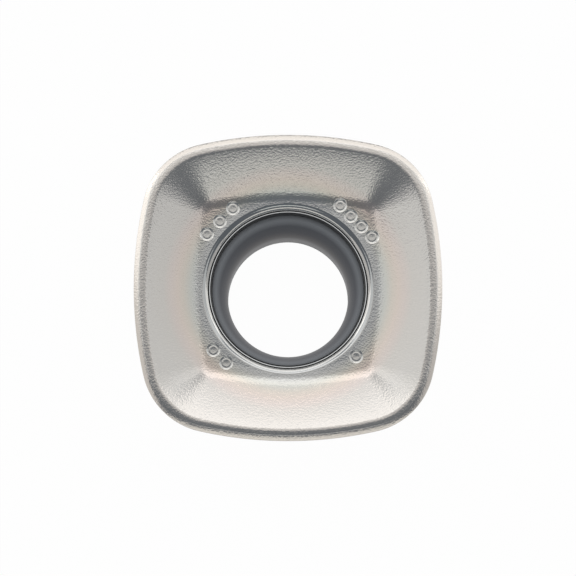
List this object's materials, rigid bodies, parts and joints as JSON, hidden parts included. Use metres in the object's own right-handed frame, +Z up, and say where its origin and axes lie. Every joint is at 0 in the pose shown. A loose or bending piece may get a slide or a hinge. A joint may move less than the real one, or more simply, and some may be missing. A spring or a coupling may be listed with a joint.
{
  "type": "square indexable carbide insert",
  "caption": "Square milling insert of coated cemented carbide with bowed sides, a pressed chip-former dish, a flared screw seat and rows of index dimples.",
  "frame": {"origin": "on the screw hole's axis, in the plane of the seat face", "axes": "+Z up the screw hole from the seat face to the rake face; X and Y square to the bowed sides, with the cutting corners on the diagonals"},
  "size_m": [0.014, 0.014, 0.0056],
  "materials": {
    "coated_carbide": "vapour-coated sintered cemented carbide, fine grained satin"
  },
  "bodies": {
    "root": {"insert": "coated_carbide"}
  },
  "joints": []
}
